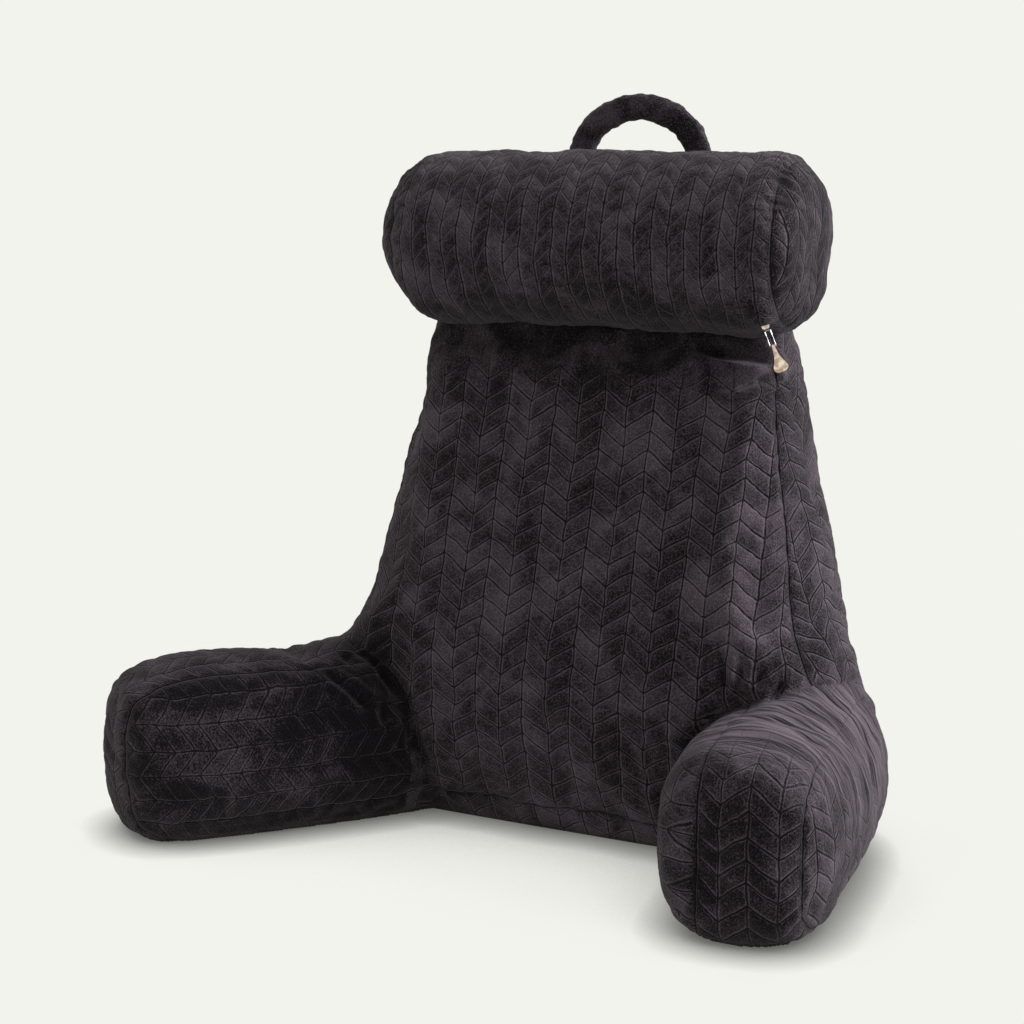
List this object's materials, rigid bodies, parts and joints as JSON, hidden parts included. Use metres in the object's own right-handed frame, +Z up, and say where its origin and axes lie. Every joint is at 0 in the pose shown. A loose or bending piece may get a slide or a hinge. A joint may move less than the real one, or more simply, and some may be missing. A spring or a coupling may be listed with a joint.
{
  "type": "reading pillow with arms",
  "caption": "Filled plush bed-rest pillow: a wedge backrest with side arms, a neck roll across its top and a carry strap behind the roll.",
  "frame": {"origin": "middle of the bounding box's underside, on the surface the pillow stands on", "axes": "+Z up, -Y the way the sitter faces, +X to the right of someone facing the front of the pillow"},
  "size_m": [0.7532, 0.469, 0.7155],
  "materials": {
    "plush": "short brushed pile, embossed herringbone",
    "nickel_plate": "plated wire",
    "champagne_zinc": "satin plated casting"
  },
  "bodies": {
    "root": {"backrest": "plush", "arm_left": "plush", "arm_right": "plush", "neck_roll": "plush", "neck_roll_end_left": "plush", "neck_roll_end_right": "plush", "carry_handle": "plush", "zip_slider": "champagne_zinc", "zip_link": "nickel_plate", "zip_pull": "champagne_zinc"}
  },
  "joints": []
}
